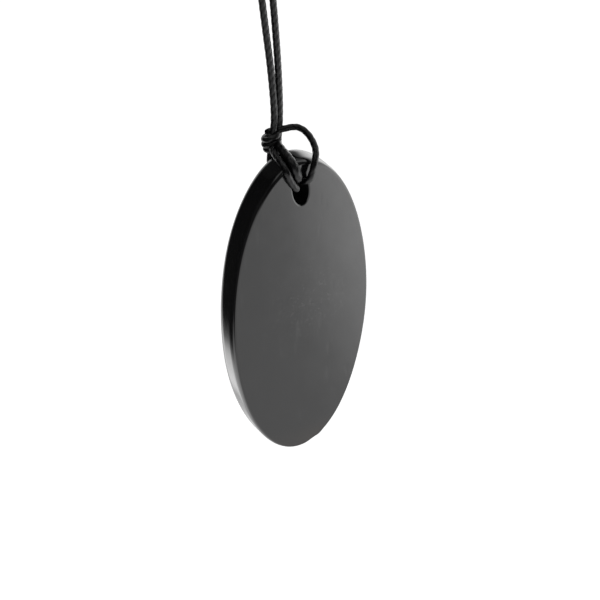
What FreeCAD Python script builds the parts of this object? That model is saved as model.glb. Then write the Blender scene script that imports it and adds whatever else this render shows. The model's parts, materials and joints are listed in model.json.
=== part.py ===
import FreeCAD, Part
import math
import os

import Sketcher

# A flat oval stone pendant that hangs on a doubled waxed cord.
# Millimetres. The origin is the hanging point, at the top of the cord's loop,
# and +Z is up, +X is to the right and +Y is towards the back of the stone.

# ---------------------------------------------------------------- driving dimensions

DIMENSIONS = {
    "stone_length": 50.3,
    "stone_width": 23.2,
    "stone_thickness": 4.5,
    "stone_arris": 0.5,
    "stone_lean": 8.5,
    "stone_centre_drop": 70.15,
    "eye_width": 2.6,
    "eye_length": 5.3,
    "eye_rise": 20.55,
    "eye_offset": -0.1,
    "eye_tilt": 7.5,
    "cord_diameter": 1.0,
    "end_knot_radius": 1.5,
    "end_knot_drop": 10.0,
    "hitch_radius": 1.5,
    "hitch_offset": -1.0,
    "hitch_drop": 44.0,
    "neck_radius": 1.0,
    "neck_top_drop": 41.95,
}

# Routes of the cord, as points that the straight runs join.
# The loop and the two strands are in the part's frame.
LOOP_ROUTE = [
    (-0.6, 0.0, -8.35),
    (-2.7, 0.0, -3.7),
    (-2.05, 0.0, -0.5),
    (2.1, 0.0, -0.5),
    (2.65, 0.0, -3.9),
    (0.6, 0.0, -8.35),
]
STRAND_LEFT_ROUTE = [
    (-0.55, 0.0, -11.7),
    (-0.85, 0.05, -18.0),
    (-0.68, 0.0, -25.0),
    (-0.34, -0.1, -33.5),
    (-0.5, -0.2, -41.9),
]
STRAND_RIGHT_ROUTE = [
    (0.55, 0.0, -11.7),
    (0.9, -0.05, -18.5),
    (1.05, 0.0, -24.0),
    (0.95, 0.1, -34.0),
    (0.5, 0.2, -41.9),
]

# The turns round the bridge of stone over the eye are in the stone's own frame,
# whose origin is the centre of the stone.
TURN_LEFT_ROUTE = [
    (-2.25, 2.45, 25.5),
    (-3.05, -3.15, 25.25),
    (-2.15, -2.95, 22.85),
    (-0.74, -3.0, 20.7),
    (-0.74, 3.3, 20.7),
    (-2.3, 3.5, 22.65),
    (-2.1, 3.6, 24.25),
]
TURN_RIGHT_ROUTE = [
    (-1.1, 2.1, 25.9),
    (-1.75, -3.15, 25.9),
    (-0.57, -3.05, 21.9),
    (-0.62, 3.0, 21.9),
    (-0.9, 3.7, 24.25),
]
SLACK_TURN_ROUTE = [
    (1.7, 3.55, 27.5),
    (2.75, 2.5, 27.65),
    (3.4, 0.9, 26.85),
    (3.0, -1.5, 25.9),
    (1.7, -3.2, 24.95),
    (0.45, -3.3, 21.45),
    (0.41, 3.2, 21.35),
    (0.5, 3.75, 24.45),
]

# Each corner's arc takes this share of the shorter run beside it.
ARC_SHARE = 0.45

# A swept cord's volume may differ from its section times its length by this share.
VOLUME_TOLERANCE = 0.02

# An edge that lies flat on a face of the stone is no deeper than this.
FLAT_DEPTH = 1e-6

# Half axes that each ellipse is drawn with before the sheet drives it.
DRAWN_HALF_LONG = 10.0
DRAWN_HALF_CROSS = 5.0


def make_sheet(doc):
    """Spreadsheet with one row for each driving dimension."""
    sheet = doc.addObject("Spreadsheet::Sheet", "Dimensions")
    for row, (alias, value) in enumerate(DIMENSIONS.items(), start=1):
        sheet.set("A%d" % row, alias)
        sheet.set("B%d" % row, str(value))
        sheet.setAlias("B%d" % row, alias)
    doc.recompute()
    return sheet


def origin_plane(body, role):
    """Origin plane of a body, found by its role."""
    for feature in body.Origin.OriginFeatures:
        if feature.Role == role:
            return feature
    raise ValueError("no origin plane " + role)


def oval_sketch(body, name, long_axis, cross_axis, centre_x, centre_z, tilt):
    """Sketch of an ellipse on the body's XZ plane, with both axes driven by the sheet."""
    sketch = body.newObject("Sketcher::SketchObject", name)
    sketch.AttachmentSupport = [(origin_plane(body, "XZ_Plane"), "")]
    sketch.MapMode = "FlatFace"
    centre = FreeCAD.Vector(0, 0, 0)
    top = FreeCAD.Vector(0, DRAWN_HALF_LONG, 0)
    right = FreeCAD.Vector(DRAWN_HALF_CROSS, 0, 0)
    sketch.addGeometry(Part.Ellipse(top, -right, centre))
    sketch.addGeometry(Part.LineSegment(-top, top), True)
    sketch.addGeometry(Part.LineSegment(-right, right), True)
    sketch.addConstraint(Sketcher.Constraint("InternalAlignment:EllipseMajorDiameter", 1, 0))
    sketch.addConstraint(Sketcher.Constraint("InternalAlignment:EllipseMinorDiameter", 2, 0))
    long_length = sketch.addConstraint(Sketcher.Constraint("Distance", 1, 2 * DRAWN_HALF_LONG))
    cross_length = sketch.addConstraint(Sketcher.Constraint("Distance", 2, 2 * DRAWN_HALF_CROSS))
    sketch.setExpression("Constraints[%d]" % long_length, "Dimensions." + long_axis)
    sketch.setExpression("Constraints[%d]" % cross_length, "Dimensions." + cross_axis)
    place_x = sketch.addConstraint(Sketcher.Constraint("DistanceX", -1, 1, 0, 3, 0.0))
    place_z = sketch.addConstraint(Sketcher.Constraint("DistanceY", -1, 1, 0, 3, 0.0))
    if centre_x:
        sketch.setExpression("Constraints[%d]" % place_x, "Dimensions." + centre_x)
    if centre_z:
        sketch.setExpression("Constraints[%d]" % place_z, "Dimensions." + centre_z)
    lean = sketch.addConstraint(Sketcher.Constraint("Angle", -1, 1, 1, 1, math.radians(90)))
    if tilt:
        sketch.setExpression("Constraints[%d]" % lean, "90 deg + Dimensions.%s * 1 deg" % tilt)
    return sketch


def make_stone(doc):
    """Oval plate of polished stone with an eye through it near the top."""
    body = doc.addObject("PartDesign::Body", "pendant_stone")
    body.Label = "pendant_stone"
    outline = oval_sketch(body, "StoneOutline", "stone_length", "stone_width", None, None, None)
    plate = body.newObject("PartDesign::Pad", "StonePlate")
    plate.Profile = outline
    plate.Midplane = True
    plate.setExpression("Length", "Dimensions.stone_thickness")
    doc.recompute()
    plate_volume = body.Shape.Volume
    eye_outline = oval_sketch(
        body, "EyeOutline", "eye_length", "eye_width", "eye_offset", "eye_rise", "eye_tilt"
    )
    eye = body.newObject("PartDesign::Pocket", "Eye")
    eye.Profile = eye_outline
    eye.Type = "ThroughAll"
    eye.Midplane = True
    doc.recompute()
    if body.Shape.Volume >= plate_volume:
        raise ValueError("the eye removes nothing from the stone")
    rims = [
        "Edge%d" % number
        for number, edge in enumerate(eye.Shape.Edges, start=1)
        if edge.Closed and edge.BoundBox.YLength < FLAT_DEPTH
    ]
    arris = body.newObject("PartDesign::Fillet", "StoneArris")
    arris.Base = (eye, rims)
    arris.setExpression("Radius", "Dimensions.stone_arris")
    body.Tip = arris
    body.Placement = stone_placement(doc.Dimensions)
    body.setExpression("Placement.Base.z", "-Dimensions.stone_centre_drop")
    body.setExpression("Placement.Rotation.Angle", "Dimensions.stone_lean * 1 deg")
    return body


def stone_placement(sheet):
    """Place of the stone's own frame: below the hanging point, its top leaning to the front."""
    lean = FreeCAD.Rotation(FreeCAD.Vector(1, 0, 0), sheet.stone_lean)
    return FreeCAD.Placement(FreeCAD.Vector(0, 0, -sheet.stone_centre_drop), lean)


# ---------------------------------------------------------------- cord


def rounded_path(route):
    """Straight runs along a route joined by tangent arcs, with the radius of each arc."""
    points = [FreeCAD.Vector(*point) for point in route]
    edges = []
    radii = []
    start = points[0]
    for before, corner, after in zip(points, points[1:], points[2:]):
        inward = (corner - before).normalize()
        onward = (after - corner).normalize()
        turn = inward.getAngle(onward)
        tangent = ARC_SHARE * min((corner - before).Length, (after - corner).Length)
        radii.append(tangent / math.tan(turn / 2))
        first = corner - inward * tangent
        last = corner + onward * tangent
        bisector = (onward - inward).normalize()
        middle = corner + bisector * (radii[-1] / math.cos(turn / 2) - radii[-1])
        edges.append(Part.LineSegment(start, first).toShape())
        edges.append(Part.Arc(first, middle, last).toShape())
        start = last
    edges.append(Part.LineSegment(start, points[-1]).toShape())
    return Part.Wire(edges), radii


def make_tube(doc, sheet, name, route, placement=None):
    """Round cord swept along a route, checked against its section times its length."""
    path, radii = rounded_path(route)
    radius = sheet.cord_diameter / 2
    heading = FreeCAD.Vector(*route[1]) - FreeCAD.Vector(*route[0])
    section = Part.Wire([Part.Circle(FreeCAD.Vector(*route[0]), heading, radius).toShape()])
    solid = path.makePipeShell([section], True, True)
    expected = math.pi * radius ** 2 * path.Length
    if abs(solid.Volume / expected - 1) > VOLUME_TOLERANCE:
        raise ValueError("%s has volume %.3f, not %.3f" % (name, solid.Volume, expected))
    print("%s: %.1f long, radii %s" % (name, path.Length, ["%.1f" % value for value in radii]))
    tube = doc.addObject("Part::Feature", name)
    tube.Label = name
    tube.Shape = solid
    if placement:
        tube.Placement = placement
    return tube


def make_end_knot(doc):
    """Overhand knot that gathers the two strands under the hanging loop."""
    knot = doc.addObject("Part::Sphere", "end_knot")
    knot.Label = "end_knot"
    knot.setExpression("Radius", "Dimensions.end_knot_radius")
    knot.setExpression("Placement.Base.z", "-Dimensions.end_knot_drop")
    return knot


def make_hitch_knot(doc):
    """Round knot over the stone with a short neck in which the two strands are seized."""
    ball = doc.addObject("Part::Sphere", "HitchBall")
    ball.setExpression("Radius", "Dimensions.hitch_radius")
    ball.setExpression("Placement.Base.x", "Dimensions.hitch_offset")
    ball.setExpression("Placement.Base.z", "-Dimensions.hitch_drop")
    neck = doc.addObject("Part::Cylinder", "HitchNeck")
    neck.setExpression("Radius", "Dimensions.neck_radius")
    neck.setExpression("Height", "Dimensions.hitch_drop - Dimensions.neck_top_drop")
    neck.setExpression("Placement.Base.z", "-Dimensions.hitch_drop")
    knot = doc.addObject("Part::Fuse", "hitch_knot")
    knot.Label = "hitch_knot"
    knot.Base = ball
    knot.Tool = neck
    return knot


# ---------------------------------------------------------------- document


def check_document(doc, pieces):
    """Stop if an object failed or a piece's shape is empty or invalid."""
    for item in doc.Objects:
        if "Invalid" in item.State or "Error" in item.State:
            raise ValueError("object %s failed: %s" % (item.Name, item.State))
    for piece in pieces:
        if piece.Shape.isNull() or not piece.Shape.isValid():
            raise ValueError("shape of %s is not valid" % piece.Label)


def main():
    doc = FreeCAD.newDocument("StonePendant")
    sheet = make_sheet(doc)
    in_stone = stone_placement(sheet)
    pieces = [
        make_stone(doc),
        make_tube(doc, sheet, "hang_loop", LOOP_ROUTE),
        make_end_knot(doc),
        make_tube(doc, sheet, "strand_left", STRAND_LEFT_ROUTE),
        make_tube(doc, sheet, "strand_right", STRAND_RIGHT_ROUTE),
        make_hitch_knot(doc),
        make_tube(doc, sheet, "turn_left", TURN_LEFT_ROUTE, in_stone),
        make_tube(doc, sheet, "turn_right", TURN_RIGHT_ROUTE, in_stone),
        make_tube(doc, sheet, "slack_turn", SLACK_TURN_ROUTE, in_stone),
    ]
    doc.recompute()
    check_document(doc, pieces)
    os.makedirs("parts", exist_ok=True)
    for piece in pieces:
        piece.Shape.exportStep("parts/%s.step" % piece.Label)


main()
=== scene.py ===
import json
import math

import bpy
import numpy as np
from bpy.props import FloatProperty, FloatVectorProperty, IntProperty, PointerProperty
from mathutils import Matrix, Vector


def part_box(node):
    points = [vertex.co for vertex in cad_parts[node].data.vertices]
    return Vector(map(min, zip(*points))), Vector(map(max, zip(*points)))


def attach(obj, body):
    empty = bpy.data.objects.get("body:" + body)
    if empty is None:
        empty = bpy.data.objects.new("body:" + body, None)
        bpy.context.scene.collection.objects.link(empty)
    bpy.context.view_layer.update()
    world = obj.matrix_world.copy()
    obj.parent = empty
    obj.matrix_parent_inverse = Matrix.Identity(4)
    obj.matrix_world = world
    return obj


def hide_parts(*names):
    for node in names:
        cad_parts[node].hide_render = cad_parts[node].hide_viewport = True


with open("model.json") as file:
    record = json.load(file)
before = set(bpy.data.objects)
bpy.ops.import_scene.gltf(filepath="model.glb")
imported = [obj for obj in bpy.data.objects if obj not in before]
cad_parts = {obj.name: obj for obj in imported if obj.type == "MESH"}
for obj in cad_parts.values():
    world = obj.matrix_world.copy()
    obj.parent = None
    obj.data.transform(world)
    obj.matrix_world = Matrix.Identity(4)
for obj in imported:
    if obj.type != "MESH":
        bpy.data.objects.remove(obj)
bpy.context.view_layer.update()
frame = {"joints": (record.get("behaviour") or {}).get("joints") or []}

# A flat oval stone pendant hitched onto a doubled waxed cord.
# Metres. The frame's origin is the hanging point, +Z is up, and the stone's face looks to -Y.

bl_info = {
    "name": "Stone Pendant on a Waxed Cord",
    "version": (1, 0, 0),
    "blender": (4, 5, 0),
    "location": "View3D > Sidebar > Pendant",
    "description": "Makes an oval stone pendant, its hitched cord and a plain studio",
    "category": "Add Mesh",
}

MM = 0.001
STONE_BOX = [np.array(corner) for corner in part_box("pendant_stone")]
STONE_CENTRE = (STONE_BOX[0] + STONE_BOX[1]) / 2
END_KNOT_CENTRE = (np.array(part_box("end_knot")[0]) + np.array(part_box("end_knot")[1])) / 2
NOD = next(joint for joint in frame["joints"] if joint["name"] == "nod")
HITCH_CENTRE = np.array(NOD["pos_m"])

# Routes of the cord in millimetres. The loop and the strands are in the part's frame.
LOOP_ROUTE = [
    (-0.6, 0.0, -8.35),
    (-2.7, 0.0, -3.7),
    (-2.05, 0.0, -0.5),
    (2.1, 0.0, -0.5),
    (2.65, 0.0, -3.9),
    (0.6, 0.0, -8.35),
]
STRAND_LEFT_ROUTE = [
    (-0.55, 0.0, -11.7),
    (-0.85, 0.05, -18.0),
    (-0.68, 0.0, -25.0),
    (-0.34, -0.1, -33.5),
    (-0.5, -0.2, -41.9),
]
STRAND_RIGHT_ROUTE = [
    (0.55, 0.0, -11.7),
    (0.9, -0.05, -18.5),
    (1.05, 0.0, -24.0),
    (0.95, 0.1, -34.0),
    (0.5, 0.2, -41.9),
]
# The turns round the bridge over the eye are in the stone's own frame.
TURN_LEFT_ROUTE = [
    (-2.25, 2.45, 25.5),
    (-3.05, -3.15, 25.25),
    (-2.15, -2.95, 22.85),
    (-0.74, -3.0, 20.7),
    (-0.74, 3.3, 20.7),
    (-1.9, 3.5, 22.65),
    (-1.5, 3.65, 24.4),
]
TURN_RIGHT_ROUTE = [
    (-1.1, 2.1, 25.9),
    (-1.75, -3.15, 25.9),
    (-0.57, -3.05, 21.9),
    (-0.62, 3.0, 21.9),
    (-0.9, 3.7, 24.25),
]
SLACK_TURN_ROUTE = [
    (1.7, 3.55, 27.5),
    (2.75, 2.5, 27.65),
    (3.4, 0.9, 26.85),
    (3.0, -1.5, 25.9),
    (1.7, -3.2, 24.95),
    (0.45, -3.3, 21.45),
    (0.41, 3.2, 21.35),
    (0.5, 3.75, 24.45),
]
# How far the hitch knot's wraps sit from the nod joint's place.
HITCH_ASIDE = (-0.2, 0.1, 0.0)
# Where each end of the cord goes on inside the knot that it leaves.
STRAND_LEFT_TAIL = (-1.1, 0.0, -43.3)
STRAND_RIGHT_TAIL = (-0.2, -0.1, -43.7)
TURN_LEFT_TAILS = ((-1.5, 3.2, 25.7), (-1.1, 3.8, 25.45))
TURN_RIGHT_TAILS = ((-0.9, 3.0, 25.95), (-1.0, 3.8, 25.45))
SLACK_TURN_TAILS = ((-0.2, 3.9, 27.3), (-0.6, 3.8, 25.55))

# Points round a cord's section, and the step along it in diameters.
CORD_AROUND = 30
CORD_STEP = 0.085
# Rows and columns of the ball inside a knot, and how near its rows come to its poles.
HEART_ROWS = 24
HEART_AROUND = 36
HEART_POLE = 0.04

# The hand-ground outline: height in millimetres, number and phase of its soft waves, then a
# small flat near the foot with a low lip beside it, as angles round the oval.
RIM_WAVES = ((0.04, 3, 0.6), (0.03, 7, 2.1))
FLAT_DEPTH = 0.10
FLAT_ANGLE = math.radians(-80.0)
FLAT_WIDTH = 0.08
LIP_BESIDE = 0.11
LIP_WIDTH = 0.05

# The foot's warmer colour is full below the first height over the lowest point, in metres,
# and gone above the second. The flecks thin out between two distances from their middle.
FOOT_HEIGHTS = (0.0005, 0.004)
FLECK_MIDDLE = STONE_CENTRE + np.array([0.002, 0.0, 0.001])
FLECK_REACH = (0.0035, 0.0105)

FLOOR_REACH = 3.0
KEY_TOWARDS = Vector((-0.10, -0.35, 0.93)).normalized()
KEY_DISTANCE = 0.5
KEY_SIZE = 0.30
# Light of the backdrop as the camera sees it, and the darkest that the surround gets.
BACKDROP_LIGHT = 1.1
LEAST_LIGHT = 0.02


# ------------------------------------------------------------------ settings


class StoneSizes(bpy.types.PropertyGroup):
    """Sizes of the polished stone plate."""

    length: FloatProperty(
        name="Length", description="Long axis of the oval", default=0.0503, unit="LENGTH"
    )
    width: FloatProperty(
        name="Width", description="Short axis of the oval", default=0.0232, unit="LENGTH"
    )
    thickness: FloatProperty(
        name="Thickness", description="Plate thickness at the rim", default=0.0045, unit="LENGTH"
    )
    crown: FloatProperty(
        name="Crown",
        description="How far each face swells at its middle",
        default=0.00012,
        unit="LENGTH",
    )
    rim_inset: FloatProperty(
        name="Rim Inset",
        description="Width of the rounded margin of the front face",
        default=0.0005,
        unit="LENGTH",
    )
    rim_depth: FloatProperty(
        name="Rim Depth",
        description="Depth of the rounded margin of the front face",
        default=0.0013,
        unit="LENGTH",
    )
    back_inset: FloatProperty(
        name="Back Inset",
        description="Width of the rounded margin of the back face",
        default=0.0007,
        unit="LENGTH",
    )
    back_depth: FloatProperty(
        name="Back Depth",
        description="Depth of the rounded margin of the back face",
        default=0.0015,
        unit="LENGTH",
    )
    eye_arris: FloatProperty(
        name="Eye Arris",
        description="Radius of the rubbed edge of the eye",
        default=0.00025,
        unit="LENGTH",
    )
    eye_length: FloatProperty(
        name="Eye Length", description="Long axis of the eye", default=0.0053, unit="LENGTH"
    )
    eye_width: FloatProperty(
        name="Eye Width", description="Short axis of the eye", default=0.0026, unit="LENGTH"
    )
    eye_rise: FloatProperty(
        name="Eye Rise",
        description="Height of the eye over the stone's centre",
        default=0.02055,
        unit="LENGTH",
    )
    eye_offset: FloatProperty(
        name="Eye Offset",
        description="Place of the eye across the stone",
        default=-0.0001,
        unit="LENGTH",
    )
    eye_tilt: FloatProperty(
        name="Eye Tilt",
        description="Turn of the eye to the left",
        default=math.radians(7.5),
        subtype="ANGLE",
    )
    lean: FloatProperty(
        name="Lean",
        description="How far the top leans to the front",
        default=math.radians(8.5),
        subtype="ANGLE",
    )


class StoneFinish(bpy.types.PropertyGroup):
    """Colour and polish of the stone."""

    body_colour: FloatVectorProperty(
        name="Body",
        description="Colour of the stone",
        subtype="COLOR",
        default=(0.0042, 0.0042, 0.0046),
        min=0,
        max=1,
    )
    fleck_colour: FloatVectorProperty(
        name="Flecks",
        description="Colour of the faint flecks",
        subtype="COLOR",
        default=(0.035, 0.035, 0.035),
        min=0,
        max=1,
    )
    foot_colour: FloatVectorProperty(
        name="Foot",
        description="Warmer colour near the foot",
        subtype="COLOR",
        default=(0.020, 0.013, 0.008),
        min=0,
        max=1,
    )
    polish: FloatProperty(
        name="Roughness",
        description="Roughness of the polish",
        subtype="FACTOR",
        default=0.11,
        min=0,
        max=1,
    )


class CordSizes(bpy.types.PropertyGroup):
    """Sizes of the waxed cord."""

    diameter: FloatProperty(
        name="Diameter", description="Thickness of the cord", default=0.001, unit="LENGTH"
    )
    plies: IntProperty(name="Plies", description="Yarns twisted together", default=3, min=2, max=5)
    lay: FloatProperty(
        name="Lay", description="Length of one full twist", default=0.0036, unit="LENGTH"
    )
    groove: FloatProperty(
        name="Groove",
        description="How far the plies stand out",
        subtype="FACTOR",
        default=0.15,
        min=0,
        max=0.6,
    )


class CordFinish(bpy.types.PropertyGroup):
    """Colour and wax of the cord."""

    colour: FloatVectorProperty(
        name="Dye",
        description="Colour of the cord",
        subtype="COLOR",
        default=(0.0010, 0.0010, 0.0014),
        min=0,
        max=1,
    )
    worn_colour: FloatVectorProperty(
        name="Worn Dye",
        description="Colour where the wax is thin",
        subtype="COLOR",
        default=(0.0025, 0.0025, 0.0035),
        min=0,
        max=1,
    )
    wax: FloatProperty(
        name="Roughness",
        description="Roughness of the wax",
        subtype="FACTOR",
        default=0.28,
        min=0,
        max=1,
    )


class StudioSettings(bpy.types.PropertyGroup):
    """Floor, lights and camera."""

    camera_azimuth: FloatProperty(
        name="Azimuth",
        description="Camera's turn to the right, so that a negative one is to the left",
        default=math.radians(-29.0),
        subtype="ANGLE",
    )
    camera_elevation: FloatProperty(
        name="Elevation",
        description="Camera's height angle",
        default=math.radians(26.6),
        subtype="ANGLE",
    )
    camera_roll: FloatProperty(
        name="Roll", description="Camera's roll", default=math.radians(-5.07), subtype="ANGLE"
    )
    camera_distance: FloatProperty(
        name="Distance", description="Camera to stone", default=0.5, unit="LENGTH"
    )
    camera_lens: FloatProperty(
        name="Lens", description="Focal length in millimetres", default=204.0, unit="CAMERA"
    )
    camera_drop: FloatProperty(
        name="Drop",
        description="Camera's aim below the hanging point",
        default=0.070,
        unit="LENGTH",
    )
    camera_aside: FloatProperty(
        name="Aside",
        description="Camera's aim to the right of the stone",
        default=0.00096,
        unit="LENGTH",
    )
    floor_drop: FloatProperty(
        name="Floor Drop", description="Floor below the hanging point", default=0.30, unit="LENGTH"
    )
    surround: FloatProperty(
        name="Surround", description="Strength of the white surround", default=0.90, min=0
    )
    key: FloatProperty(
        name="Key", description="Power of the key light", default=0.12, unit="POWER"
    )


# ------------------------------------------------------------------ surfaces


def new_piece(name, points, ring, uvs=None):
    """Mesh object from a grid of points (rows, columns) whose columns close round.

    The rows close round too where ring is true. Otherwise a fan on the middle of the first
    row and of the last closes the ends, and uvs may give a UV for each row and column, with
    one more column than the points have.
    """
    rows, columns = points.shape[:2]
    vertices = points.reshape(-1, 3)
    v = np.arange(columns)
    uu, vv = np.meshgrid(np.arange(rows if ring else rows - 1), v, indexing="ij")
    next_u = (uu + 1) % rows
    next_v = (vv + 1) % columns
    corners = ((uu, vv), (uu, next_v), (next_u, next_v), (next_u, vv))
    loops = np.stack([row * columns + column for row, column in corners], axis=-1).ravel()
    sides = np.full(uu.size, 4)
    if not ring:
        vertices = np.concatenate([vertices, points[[0, -1]].mean(axis=1)])
        first = rows * columns
        base = first - columns
        after = (v + 1) % columns
        low = np.stack([np.full(columns, first), after, v], axis=-1)
        high = np.stack([np.full(columns, first + 1), base + v, base + after], axis=-1)
        loops = np.concatenate([loops, low.ravel(), high.ravel()])
        sides = np.concatenate([sides, np.full(2 * columns, 3)])
    starts = np.cumsum(sides) - sides
    mesh = bpy.data.meshes.new(name)
    mesh.vertices.add(len(vertices))
    mesh.vertices.foreach_set("co", vertices.astype(np.float32).ravel())
    mesh.loops.add(len(loops))
    mesh.loops.foreach_set("vertex_index", loops.astype(np.int32))
    mesh.polygons.add(len(sides))
    mesh.polygons.foreach_set("loop_start", starts.astype(np.int32))
    mesh.polygons.foreach_set("loop_total", sides.astype(np.int32))
    mesh.polygons.foreach_set("use_smooth", np.ones(len(sides), dtype=bool))
    mesh.update(calc_edges=True)
    if uvs is not None:
        around = (uvs[uu, vv], uvs[uu, vv + 1], uvs[uu + 1, vv + 1], uvs[uu + 1, vv])
        corner_uvs = np.zeros((len(loops), 2), dtype=np.float32)
        corner_uvs[: 4 * uu.size] = np.stack(around, axis=2).reshape(-1, 2)
        mesh.uv_layers.new(name="lay").data.foreach_set("uv", corner_uvs.ravel())
    mesh.validate()
    piece = bpy.data.objects.new(name, mesh)
    bpy.context.scene.collection.objects.link(piece)
    return piece


def in_stone(points):
    """Points of the stone's own frame, turned about X by the lean and put at its centre."""
    lean = bpy.context.scene.pendant_stone_sizes.lean
    x, y, z = np.asarray(points, dtype=float).T
    forward = y * math.cos(lean) - z * math.sin(lean)
    upward = z * math.cos(lean) + y * math.sin(lean)
    return np.stack([x, forward, upward], axis=-1) + STONE_CENTRE


def oval(angle, half_across, half_long):
    """Points of an ellipse, and its outward normals, at each angle."""
    point = np.stack([half_across * np.cos(angle), half_long * np.sin(angle)], axis=-1)
    normal = np.stack([half_long * np.cos(angle), half_across * np.sin(angle)], axis=-1)
    return point, normal / np.linalg.norm(normal, axis=-1, keepdims=True)


def worn_rim(angle):
    """How far the outline stands out of its ellipse at each angle: waves, a flat and its lip."""
    waves = sum(height * np.sin(count * angle + phase) for height, count, phase in RIM_WAVES)
    gap = np.angle(np.exp(1j * (angle - FLAT_ANGLE)))
    flat = np.exp(-(((gap - LIP_BESIDE) / LIP_WIDTH) ** 2)) - np.exp(-((gap / FLAT_WIDTH) ** 2))
    return (waves + FLAT_DEPTH * flat) * MM


def stone_surface(sizes, around=360, across=40, bend=10, wall=9):
    """Closed surface of the plate with its eye, as a grid of section rows by angle.

    Every section runs from the eye's ellipse to the outline's ellipse at the same angle:
    P = (1 - m) (eye + out d_eye) + m (rim - out d_rim), with depth y. On the margins and on
    the eye's edges the inset d and y follow a quarter ellipse, on the faces m goes from one
    edge to the other, and each face swells by crown (1 - q), q being the squared oval radius.
    Returns the grid, and for each of its rows whether it lies on the eye's wall.
    """
    angle = np.linspace(0, 2 * math.pi, around, endpoint=False)
    rim, rim_out = oval(angle, sizes.width / 2, sizes.length / 2)
    rim = rim + rim_out * worn_rim(angle)[:, None]
    eye, eye_out = oval(angle, sizes.eye_width / 2, sizes.eye_length / 2)
    cosine, sine = math.cos(sizes.eye_tilt), math.sin(sizes.eye_tilt)
    turn = np.array([[cosine, sine], [-sine, cosine]])
    eye = eye @ turn + [sizes.eye_offset, sizes.eye_rise]
    eye_out = eye_out @ turn

    half = sizes.thickness / 2
    spread = 0.5 - 0.5 * np.cos(np.linspace(0, math.pi, across + 2)[1:-1])
    quarter = np.linspace(0, math.pi / 2, bend)
    bend_in = 1 - np.cos(quarter)
    front_bend, back_bend = sizes.rim_inset * bend_in, sizes.back_inset * bend_in
    eye_bend = sizes.eye_arris * bend_in
    depths = (sizes.rim_depth, sizes.back_depth, sizes.eye_arris)
    front_depth, back_depth, eye_depth = (half - deep * (1 - np.sin(quarter)) for deep in depths)
    rim_wall = np.linspace(-front_depth[0], back_depth[0], wall)[1:-1]
    eye_wall = np.linspace(eye_depth[0], -eye_depth[0], wall)[1:-1]

    def rows(*values):
        """The mix, the rim's inset, the eye's inset and the depth of some rows."""
        count = max(np.size(value) for value in values)
        return np.stack([np.broadcast_to(value, count) for value in values])

    mix, rim_inset, eye_inset, depth = np.concatenate(
        [
            rows(1.0, 0.0, 0.0, rim_wall),
            rows(1.0, back_bend, 0.0, back_depth),
            rows(spread[::-1], sizes.back_inset, sizes.eye_arris, half),
            rows(0.0, 0.0, eye_bend[::-1], eye_depth[::-1]),
            rows(0.0, 0.0, 0.0, eye_wall),
            rows(0.0, 0.0, eye_bend, -eye_depth),
            rows(spread, sizes.rim_inset, sizes.eye_arris, -half),
            rows(1.0, front_bend[::-1], 0.0, -front_depth[::-1]),
        ],
        axis=1,
    )
    inside_eye = (mix == 0.0) & (np.abs(depth) < half - 0.3 * sizes.eye_arris)
    mix, rim_inset, eye_inset = (value[:, None, None] for value in (mix, rim_inset, eye_inset))
    flat = (1 - mix) * (eye + eye_out * eye_inset) + mix * (rim - rim_out * rim_inset)
    x, z = flat[..., 0], flat[..., 1]
    radius = (2 * x / sizes.width) ** 2 + (2 * z / sizes.length) ** 2
    y = depth[:, None] * (1 + (sizes.crown / half) * np.clip(1 - radius, 0, 1))
    return np.stack([x, y, z], axis=-1)[::-1], inside_eye[::-1]


def spline_points(route, fineness=40):
    """Points along the smooth NURBS line whose control points are the route's."""
    curve = bpy.data.curves.new("route", "CURVE")
    curve.dimensions = "3D"
    curve.resolution_u = fineness
    spline = curve.splines.new("NURBS")
    spline.points.add(len(route) - 1)
    spline.points.foreach_set("co", np.column_stack([route, np.ones(len(route))]).ravel())
    spline.order_u = 3
    spline.use_endpoint_u = True
    holder = bpy.data.objects.new("route", curve)
    bpy.context.scene.collection.objects.link(holder)
    mesh = bpy.data.meshes.new_from_object(holder)
    points = np.empty(len(mesh.vertices) * 3)
    mesh.vertices.foreach_get("co", points)
    bpy.data.objects.remove(holder)
    bpy.data.curves.remove(curve)
    bpy.data.meshes.remove(mesh)
    return points.reshape(-1, 3)


def evenly(points, step):
    """The line through the points, read off at even steps along it, with the distance of each."""
    run = np.concatenate([[0], np.cumsum(np.linalg.norm(np.diff(points, axis=0), axis=1))])
    count = max(8, int(round(run[-1] / step)) + 1)
    along = np.linspace(0, run[-1], count)
    return np.stack([np.interp(along, run, points[:, axis]) for axis in range(3)], axis=-1), along


def cord_surface(line, along, across, sizes, swell=1.0, lie=1.0):
    """Closed outline of twisted plies carried along a line.

    The section is the envelope of equal circles set round the centre:
    rho = o cos(a) + sqrt(r^2 - o^2 sin^2(a)), where a is the angle to the nearest ply,
    and it turns once in each lay length. lie widens the section towards the across side.
    """
    tangent = np.gradient(line, axis=0)
    tangent /= np.linalg.norm(tangent, axis=1, keepdims=True)
    side = across - (tangent @ across)[:, None] * tangent
    side /= np.linalg.norm(side, axis=1, keepdims=True)
    other = np.cross(tangent, side)
    angle = np.linspace(0, 2 * math.pi, CORD_AROUND, endpoint=False)
    sector = 2 * math.pi / sizes.plies
    twist = 2 * math.pi * along / sizes.lay
    near = np.mod(angle[None, :] - twist[:, None] + sector / 2, sector) - sector / 2
    radius = sizes.diameter / 2 * swell
    offset = sizes.groove * radius
    ply = radius - offset
    rho = offset * np.cos(near) + np.sqrt(ply**2 - (offset * np.sin(near)) ** 2)
    wide = (rho * np.cos(angle) * lie)[..., None] * side[:, None, :]
    deep = (rho * np.sin(angle))[..., None] * other[:, None, :]
    return line[:, None, :] + wide + deep


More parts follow.
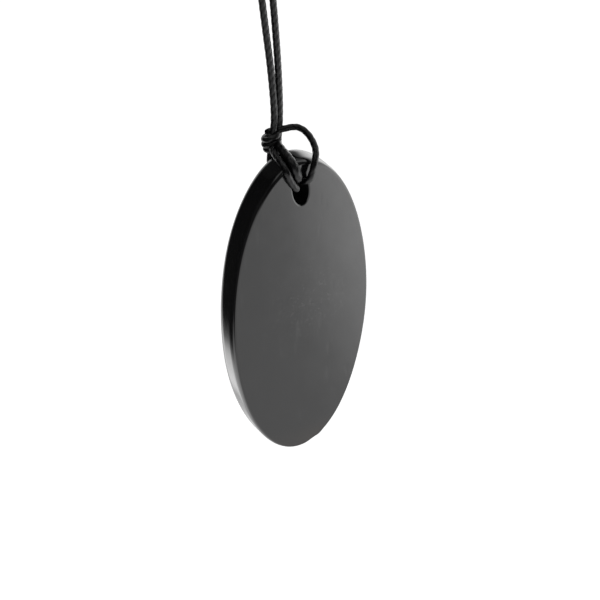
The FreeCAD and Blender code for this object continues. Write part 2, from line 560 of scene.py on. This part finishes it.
def cord_uv(along, sizes):
    """UV of a cord: distance along in diameters, and place round its plies."""
    u = np.broadcast_to((along / sizes.diameter)[:, None], (len(along), CORD_AROUND + 1))
    v = np.linspace(0, 1, CORD_AROUND + 1)[None, :] - (along / sizes.lay)[:, None]
    return np.stack([u, v], axis=-1)


def cord_piece(name, points, across, node, swell=1.0, lie=1.0):
    """Twisted cord along points, which stands for the CAD node, and its centre line."""
    sizes = bpy.context.scene.pendant_cord_sizes
    line, along = evenly(points, sizes.diameter * CORD_STEP)
    surface = cord_surface(line, along, np.array(across, dtype=float), sizes, swell, lie)
    piece = new_piece(name, surface, False, cord_uv(along, sizes))
    piece.data.materials.append(cord_material())
    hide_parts(node)
    return piece, line


# ------------------------------------------------------------------ materials


def node_tree(material):
    """Cleared node tree of a material, with a Principled shader on its output."""
    material.use_nodes = True
    tree = material.node_tree
    tree.nodes.clear()
    output = tree.nodes.new("ShaderNodeOutputMaterial")
    shader = tree.nodes.new("ShaderNodeBsdfPrincipled")
    tree.links.new(shader.outputs["BSDF"], output.inputs["Surface"])
    return tree, shader


def add(tree, kind, **values):
    """New node with its properties and input values set by name."""
    node = tree.nodes.new(kind)
    for key, value in values.items():
        if hasattr(node, key):
            setattr(node, key, value)
        else:
            node.inputs[key.replace("_", " ")].default_value = value
    return node


def ramp(tree, source, low, high, start, end):
    """Map Range from low..high to start..end, held at both ends."""
    node = add(tree, "ShaderNodeMapRange", clamp=True)
    node.inputs["From Min"].default_value = low
    node.inputs["From Max"].default_value = high
    node.inputs["To Min"].default_value = start
    node.inputs["To Max"].default_value = end
    tree.links.new(source, node.inputs["Value"])
    return node.outputs["Result"]


def blend_colours(tree, factor, first, second):
    """Mix of two colours, each a colour value or a node output."""
    node = add(tree, "ShaderNodeMix", data_type="RGBA")
    tree.links.new(factor, node.inputs[0])
    for socket, value in ((node.inputs[6], first), (node.inputs[7], second)):
        if hasattr(value, "is_linked"):
            tree.links.new(value, socket)
        else:
            socket.default_value = (*value, 1.0)
    return node.outputs[2]


def stone_material():
    """Polished near-black stone: faint flecks, a warmer foot, rubbing marks and soft waves."""
    finish = bpy.context.scene.pendant_stone_finish
    material = bpy.data.materials.new("polished_stone")
    tree, shader = node_tree(material)
    place = add(tree, "ShaderNodeTexCoord").outputs["Object"]

    def noise(scale, detail, roughness=0.5, stretch=None):
        source = place
        if stretch:
            mapping = add(tree, "ShaderNodeMapping", Rotation=stretch[0], Scale=stretch[1])
            tree.links.new(place, mapping.inputs["Vector"])
            source = mapping.outputs["Vector"]
        node = add(tree, "ShaderNodeTexNoise", Scale=scale, Detail=detail, Roughness=roughness)
        tree.links.new(source, node.inputs["Vector"])
        return node.outputs["Fac"]

    cloud = noise(120.0, 3.0)
    fleck = noise(2300.0, 2.0, 0.6)
    patch = noise(260.0, 2.0)
    middle = add(tree, "ShaderNodeVectorMath", operation="DISTANCE")
    tree.links.new(place, middle.inputs[0])
    middle.inputs[1].default_value = tuple(FLECK_MIDDLE)
    fleck_place = add(tree, "ShaderNodeMath", operation="MULTIPLY")
    tree.links.new(ramp(tree, fleck, 0.585, 0.685, 0.0, 1.0), fleck_place.inputs[0])
    tree.links.new(ramp(tree, middle.outputs["Value"], *FLECK_REACH, 1.0, 0.0), fleck_place.inputs[1])
    above = add(tree, "ShaderNodeSeparateXYZ")
    tree.links.new(place, above.inputs["Vector"])
    foot_low, foot_high = (float(STONE_BOX[0][2]) + height for height in FOOT_HEIGHTS)
    foot = ramp(tree, above.outputs["Z"], foot_low, foot_high, 1.0, 0.0)
    colour = blend_colours(tree, foot, finish.body_colour, finish.foot_colour)
    cloudy = tuple(1.5 * value for value in finish.body_colour)
    colour = blend_colours(tree, ramp(tree, cloud, 0.4, 0.7, 0.0, 0.7), colour, cloudy)
    colour = blend_colours(tree, fleck_place.outputs[0], colour, finish.fleck_colour)
    tree.links.new(colour, shader.inputs["Base Color"])

    scratch_a = noise(800.0, 2.0, 0.5, ((0.0, 0.6, 0.0), (1.0, 1.0, 0.10)))
    scratch_b = noise(700.0, 2.0, 0.5, ((0.0, -0.9, 0.0), (1.0, 1.0, 0.08)))
    rub = add(tree, "ShaderNodeMath", operation="ADD")
    tree.links.new(ramp(tree, scratch_a, 0.66, 0.72, 0.0, 1.0), rub.inputs[0])
    tree.links.new(ramp(tree, scratch_b, 0.68, 0.74, 0.0, 1.0), rub.inputs[1])
    rough = add(tree, "ShaderNodeMath", operation="MULTIPLY_ADD")
    tree.links.new(rub.outputs[0], rough.inputs[0])
    rough.inputs[1].default_value = 0.05
    polish = ramp(tree, patch, 0.3, 0.7, finish.polish * 0.85, finish.polish * 1.2)
    tree.links.new(polish, rough.inputs[2])
    tree.links.new(rough.outputs[0], shader.inputs["Roughness"])

    wave = add(tree, "ShaderNodeBump", Strength=0.04, Distance=0.0004)
    tree.links.new(cloud, wave.inputs["Height"])
    marks = add(tree, "ShaderNodeBump", Strength=0.02, Distance=0.00005, invert=True)
    tree.links.new(rub.outputs[0], marks.inputs["Height"])
    tree.links.new(wave.outputs["Normal"], marks.inputs["Normal"])
    tree.links.new(marks.outputs["Normal"], shader.inputs["Normal"])
    shader.inputs["IOR"].default_value = 1.7
    return material


def painted_shade_bore_material():
    """Drilled bore of the eye: the stone's body colour darkened as painted shade in the recess, left
    matt, with grit varying it along the drill's rings.
    """
    finish = bpy.context.scene.pendant_stone_finish
    material = bpy.data.materials.new("drilled_bore_painted_shade")
    tree, shader = node_tree(material)
    place = add(tree, "ShaderNodeTexCoord").outputs["Object"]
    rings = add(tree, "ShaderNodeMapping", Scale=(0.2, 1.0, 0.2))
    tree.links.new(place, rings.inputs["Vector"])
    grit = add(tree, "ShaderNodeTexNoise", Scale=5000.0, Detail=3.0)
    tree.links.new(rings.outputs["Vector"], grit.inputs["Vector"])
    # Painted shade: the bore's colour is a quarter to six tenths of the stone's body colour, darker
    # as if the recess lay in shadow; the grit only varies it.
    dark = tuple(0.25 * value for value in finish.body_colour)
    light = tuple(0.6 * value for value in finish.body_colour)
    colour = blend_colours(tree, ramp(tree, grit.outputs["Fac"], 0.35, 0.7, 0.0, 1.0), dark, light)
    tree.links.new(colour, shader.inputs["Base Color"])
    tree.links.new(ramp(tree, grit.outputs["Fac"], 0.3, 0.7, 0.6, 0.8), shader.inputs["Roughness"])
    bump = add(tree, "ShaderNodeBump", Strength=0.3, Distance=0.00004)
    tree.links.new(grit.outputs["Fac"], bump.inputs["Height"])
    tree.links.new(bump.outputs["Normal"], shader.inputs["Normal"])
    shader.inputs["Specular IOR Level"].default_value = 0.08
    return material


def cord_material():
    """Black waxed cotton: yarn fibres along the twist, and wax in random smears that vary its
    roughness and its dye.
    """
    finish = bpy.context.scene.pendant_cord_finish
    material = bpy.data.materials.get("waxed_cord")
    if material:
        return material
    material = bpy.data.materials.new("waxed_cord")
    tree, shader = node_tree(material)
    lay = add(tree, "ShaderNodeUVMap", uv_map="lay").outputs["UV"]
    place = add(tree, "ShaderNodeTexCoord").outputs["Object"]

    fibre_map = add(tree, "ShaderNodeMapping", Scale=(0.6, 46.0, 1.0))
    tree.links.new(lay, fibre_map.inputs["Vector"])
    fibre = add(tree, "ShaderNodeTexNoise", Scale=1.0, Detail=3.0, Roughness=0.6)
    tree.links.new(fibre_map.outputs["Vector"], fibre.inputs["Vector"])
    smear = add(tree, "ShaderNodeTexNoise", Scale=900.0, Detail=3.0, Roughness=0.55)
    tree.links.new(place, smear.inputs["Vector"])

    worn = ramp(tree, smear.outputs["Fac"], 0.5, 0.72, 0.0, 0.8)
    colour = blend_colours(tree, worn, finish.colour, finish.worn_colour)
    dusty = tuple(1.8 * value for value in finish.colour)
    colour = blend_colours(tree, ramp(tree, fibre.outputs["Fac"], 0.45, 0.7, 0.0, 0.6), colour, dusty)
    tree.links.new(colour, shader.inputs["Base Color"])
    wax = ramp(tree, smear.outputs["Fac"], 0.3, 0.75, finish.wax * 0.8, finish.wax * 1.45)
    tree.links.new(wax, shader.inputs["Roughness"])
    yarn = add(tree, "ShaderNodeBump", Strength=0.35, Distance=0.00006)
    tree.links.new(fibre.outputs["Fac"], yarn.inputs["Height"])
    lumps = add(tree, "ShaderNodeBump", Strength=0.25, Distance=0.0001)
    tree.links.new(smear.outputs["Fac"], lumps.inputs["Height"])
    tree.links.new(yarn.outputs["Normal"], lumps.inputs["Normal"])
    tree.links.new(lumps.outputs["Normal"], shader.inputs["Normal"])
    shader.inputs["IOR"].default_value = 1.5
    shader.inputs["Specular IOR Level"].default_value = 0.5
    return material


def floor_material():
    """Pale matt floor with a white glow of its own."""
    material = bpy.data.materials.new("pale_floor")
    shader = node_tree(material)[1]
    shader.inputs["Base Color"].default_value = (0.9, 0.9, 0.9, 1.0)
    shader.inputs["Roughness"].default_value = 0.8
    shader.inputs["Specular IOR Level"].default_value = 0.1
    shader.inputs["Emission Color"].default_value = (1.0, 1.0, 1.0, 1.0)
    shader.inputs["Emission Strength"].default_value = 0.85
    return material


# Patches of the surround, dark where the added light is negative: the direction of the
# middle, the angles in degrees from it where the patch ends and where it is full, the light.
SURROUND = (
    ((-0.69, 0.72, -0.05), 36.0, 27.0, -0.88),
    ((-0.46, 0.63, 0.62), 36.0, 26.0, -0.86),
    ((0.0, -0.75, 0.66), 64.0, 48.0, -0.84),
    ((-0.97, 0.15, 0.05), 52.0, 36.0, -0.84),
    ((-0.40, 0.60, -0.69), 14.0, 4.0, 0.8),
    ((-0.66, 0.30, -0.69), 18.0, 6.0, 0.8),
    ((-0.215, 0.797, -0.563), 10.5, 2.5, 1.5),
    ((0.03, 0.804, -0.594), 17.0, 6.0, 0.2),
    ((0.43, 0.62, 0.66), 30.0, 8.0, -0.65),
    ((0.76, 0.64, 0.12), 24.0, 4.0, 1.2),
    ((0.92, -0.25, -0.25), 35.0, 15.0, 0.9),
    ((0.63, -0.592, -0.549), 13.2, 8.0, 1.7),
)


def surround_world(studio):
    """White surround, darker and brighter by direction, which the camera sees as plain white."""
    world = bpy.data.worlds.new("surround")
    world.use_nodes = True
    tree = world.node_tree
    tree.nodes.clear()
    direction = add(tree, "ShaderNodeTexCoord").outputs["Generated"]
    total = None
    for towards, outer, inner, light in SURROUND:
        dot = add(tree, "ShaderNodeVectorMath", operation="DOT_PRODUCT")
        tree.links.new(direction, dot.inputs[0])
        dot.inputs[1].default_value = Vector(towards).normalized()
        edge, full = (math.cos(math.radians(limit)) for limit in (outer, inner))
        patch = ramp(tree, dot.outputs["Value"], edge, full, 0.0, light)
        patch.node.interpolation_type = "SMOOTHSTEP"
        summed = add(tree, "ShaderNodeMath", operation="ADD")
        tree.links.new(patch, summed.inputs[0])
        if total:
            tree.links.new(total, summed.inputs[1])
        else:
            summed.inputs[1].default_value = studio.surround
        total = summed.outputs[0]
    least = add(tree, "ShaderNodeMath", operation="MAXIMUM")
    tree.links.new(total, least.inputs[0])
    least.inputs[1].default_value = LEAST_LIGHT
    seen = add(tree, "ShaderNodeLightPath").outputs["Is Camera Ray"]
    backdrop = add(tree, "ShaderNodeMix", data_type="FLOAT")
    tree.links.new(seen, backdrop.inputs[0])
    tree.links.new(least.outputs[0], backdrop.inputs[2])
    backdrop.inputs[3].default_value = BACKDROP_LIGHT
    background = add(tree, "ShaderNodeBackground")
    background.inputs["Color"].default_value = (1, 1, 1, 1)
    tree.links.new(backdrop.outputs[0], background.inputs["Strength"])
    output = add(tree, "ShaderNodeOutputWorld")
    tree.links.new(background.outputs["Background"], output.inputs["Surface"])
    return world


# ------------------------------------------------------------------ operators


class PENDANT_OT_camera(bpy.types.Operator):
    """Puts the camera to the left of and above the stone."""

    bl_idname = "pendant.camera"
    bl_label = "Camera"

    def execute(self, context):
        studio = context.scene.pendant_studio
        turn, rise, roll = studio.camera_azimuth, studio.camera_elevation, studio.camera_roll
        level_back = Vector((math.sin(turn), -math.cos(turn), 0))
        back = level_back * math.cos(rise) + Vector((0, 0, math.sin(rise)))
        level = Vector((math.cos(turn), math.sin(turn), 0))
        over = back.cross(level)
        right = level * math.cos(roll) + over * math.sin(roll)
        up = back.cross(right)
        data = bpy.data.cameras.new("camera")
        data.lens = studio.camera_lens
        data.clip_end = 10.0
        camera = bpy.data.objects.new("camera", data)
        aim = Vector((0, 0, -studio.camera_drop)) + right * studio.camera_aside
        place = Matrix.Translation(aim + back * studio.camera_distance)
        camera.matrix_world = place @ Matrix((right, up, back)).transposed().to_4x4()
        context.scene.collection.objects.link(camera)
        context.scene.camera = camera
        return {"FINISHED"}


class PENDANT_OT_strands(bpy.types.Operator):
    """Makes the two standing strands and the hanging loop."""

    bl_idname = "pendant.strands"
    bl_label = "Strands and Loop"

    def execute(self, context):
        for name, route, tail in (
            ("strand_left", STRAND_LEFT_ROUTE, STRAND_LEFT_TAIL),
            ("strand_right", STRAND_RIGHT_ROUTE, STRAND_RIGHT_TAIL),
        ):
            top = (route[0][0] * 0.9, route[0][1], route[0][2] + 0.8)
            points = spline_points(np.array([top, *route, tail]) * MM)
            piece, line = cord_piece(name + "_cord", points, (1, 0, 0), name, swell=1.06)
            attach(piece, "cord")
        loop = np.array([(-0.5, 0.0, -9.2), *LOOP_ROUTE, (0.5, 0.0, -9.2)]) * MM
        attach(cord_piece("hang_loop_cord", spline_points(loop), (0, 1, 0), "hang_loop")[0], "root")
        return {"FINISHED"}


class PENDANT_OT_turns(bpy.types.Operator):
    """Makes the turns of cord round the bridge of stone over the eye."""

    bl_idname = "pendant.turns"
    bl_label = "Turns"

    def execute(self, context):
        for name, route, tails, lie in (
            ("turn_left", TURN_LEFT_ROUTE, TURN_LEFT_TAILS, 1.0),
            ("turn_right", TURN_RIGHT_ROUTE, TURN_RIGHT_TAILS, 1.3),
            ("slack_turn", SLACK_TURN_ROUTE, SLACK_TURN_TAILS, 1.0),
        ):
            points = in_stone(np.array([tails[0], *route, tails[1]]) * MM)
            turn = cord_piece(name + "_cord", spline_points(points), (1, 0, 0), name, lie=lie)[0]
            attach(turn, "stone")
        return {"FINISHED"}


def wrapped_knot(name, centre, node, turns, reach, height, tilt, heart):
    """Round knot: turns of cord wound over a closed heart of radius heart, drawn in at both ends.

    The winding's radius is reach (0.55 + 0.45 sin(pi s)^0.35), s being the share of it done.
    The heart is a ball with a low ripple round it.
    """
    share = np.linspace(0, 1, int(turns * 12) + 1)
    angle = 2 * math.pi * turns * share + 0.7
    radius = reach * (0.55 + 0.45 * np.sin(math.pi * share) ** 0.35)
    x, y = radius * np.cos(angle), radius * np.sin(angle)
    route = np.stack([x, y, (share - 0.5) * height + tilt * x], axis=-1)
    wraps = cord_piece(name + "_wraps", spline_points(route + centre), (0, 0, 1), node)[0]

    down = np.linspace(HEART_POLE, math.pi - HEART_POLE, HEART_ROWS)[:, None]
    around = np.linspace(0, 2 * math.pi, HEART_AROUND, endpoint=False)[None, :]
    ring = heart * np.sin(down) * (1 + 0.05 * np.sin(3 * around + 9 * down))
    level = np.broadcast_to(heart * np.cos(down), ring.shape)
    ball = np.stack([ring * np.cos(around), ring * np.sin(around), level], axis=-1)
    places = np.linspace(0, 3, HEART_ROWS), np.linspace(0, 3, HEART_AROUND + 1)
    uvs = np.stack(np.meshgrid(*places, indexing="ij"), axis=-1)
    core = new_piece(name + "_heart", ball[::-1] + centre, False, uvs)
    core.data.materials.append(cord_material())
    return wraps, core


class PENDANT_OT_knots(bpy.types.Operator):
    """Makes the hitch knot behind the stone's top and the end knot under the loop."""

    bl_idname = "pendant.knots"
    bl_label = "Knots"

    def execute(self, context):
        hitch = wrapped_knot(
            "hitch",
            HITCH_CENTRE + np.array(HITCH_ASIDE) * MM,
            "hitch_knot",
            turns=3.2,
            reach=1.08 * MM,
            height=2.5 * MM,
            tilt=0.18,
            heart=1.3 * MM,
        )
        gather = wrapped_knot(
            "end",
            END_KNOT_CENTRE,
            "end_knot",
            turns=2.6,
            reach=1.0 * MM,
            height=2.0 * MM,
            tilt=-0.2,
            heart=1.1 * MM,
        )
        for pieces, body in ((hitch, "cord"), (gather, "knot")):
            for piece in pieces:
                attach(piece, body)
        return {"FINISHED"}


class PENDANT_OT_stone(bpy.types.Operator):
    """Makes the polished oval stone with its eye."""

    bl_idname = "pendant.stone"
    bl_label = "Stone"

    def execute(self, context):
        surface, inside_eye = stone_surface(context.scene.pendant_stone_sizes)
        placed = in_stone(surface.reshape(-1, 3)).reshape(surface.shape)
        stone = new_piece("polished_plate", placed, True)
        stone.data.materials.append(stone_material())
        # The second material, for the eye's bore, is darkened as painted shade.
        stone.data.materials.append(painted_shade_bore_material())
        drilled = np.repeat(inside_eye, surface.shape[1]).astype(np.int32)
        stone.data.polygons.foreach_set("material_index", drilled)
        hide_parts("pendant_stone")
        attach(stone, "stone")
        return {"FINISHED"}


class PENDANT_OT_studio(bpy.types.Operator):
    """Makes the pale floor, the white surround and the soft key light."""

    bl_idname = "pendant.studio"
    bl_label = "Studio"

    def execute(self, context):
        studio = context.scene.pendant_studio
        sides = ((-1, -1), (1, -1), (1, 1), (-1, 1))
        corners = [(x * FLOOR_REACH, y * FLOOR_REACH, -studio.floor_drop) for x, y in sides]
        sheet = bpy.data.meshes.new("floor")
        sheet.from_pydata(corners, [], [(0, 1, 2, 3)])
        sheet.materials.append(floor_material())
        floor = bpy.data.objects.new("floor", sheet)
        context.scene.collection.objects.link(floor)
        floor.visible_glossy = False
        context.scene.world = surround_world(studio)
        context.scene.view_settings.view_transform = "Standard"
        key = bpy.data.lights.new("key", "AREA")
        key.shape = "SQUARE"
        key.size = KEY_SIZE
        key.energy = studio.key
        lamp = bpy.data.objects.new("key", key)
        lamp.location = Vector(STONE_CENTRE) + KEY_TOWARDS * KEY_DISTANCE
        lamp.rotation_mode = "QUATERNION"
        lamp.rotation_quaternion = KEY_TOWARDS.to_track_quat("Z", "Y")
        context.scene.collection.objects.link(lamp)
        return {"FINISHED"}


class PENDANT_PT_panel(bpy.types.Panel):
    """Buttons that make the pendant, one for each piece or group."""

    bl_label = "Stone Pendant"
    bl_idname = "PENDANT_PT_panel"
    bl_space_type = "VIEW_3D"
    bl_region_type = "UI"
    bl_category = "Pendant"

    def draw(self, context):
        layout = self.layout
        for operator in OPERATORS:
            layout.operator(operator.bl_idname)


SETTINGS = {
    "pendant_stone_sizes": StoneSizes,
    "pendant_stone_finish": StoneFinish,
    "pendant_cord_sizes": CordSizes,
    "pendant_cord_finish": CordFinish,
    "pendant_studio": StudioSettings,
}
OPERATORS = (
    PENDANT_OT_camera,
    PENDANT_OT_strands,
    PENDANT_OT_turns,
    PENDANT_OT_knots,
    PENDANT_OT_stone,
    PENDANT_OT_studio,
)


def register():
    for settings in SETTINGS.values():
        bpy.utils.register_class(settings)
    for name, settings in SETTINGS.items():
        setattr(bpy.types.Scene, name, PointerProperty(type=settings))
    for operator in OPERATORS:
        bpy.utils.register_class(operator)
    bpy.utils.register_class(PENDANT_PT_panel)


def unregister():
    bpy.utils.unregister_class(PENDANT_PT_panel)
    for operator in reversed(OPERATORS):
        bpy.utils.unregister_class(operator)
    for name in SETTINGS:
        delattr(bpy.types.Scene, name)
    for settings in reversed(SETTINGS.values()):
        bpy.utils.unregister_class(settings)


def main():
    """Makes every piece in order."""
    register()
    for operator in OPERATORS:
        group, action = operator.bl_idname.split(".")
        getattr(getattr(bpy.ops, group), action)()


if __name__ == "__main__":
    main()
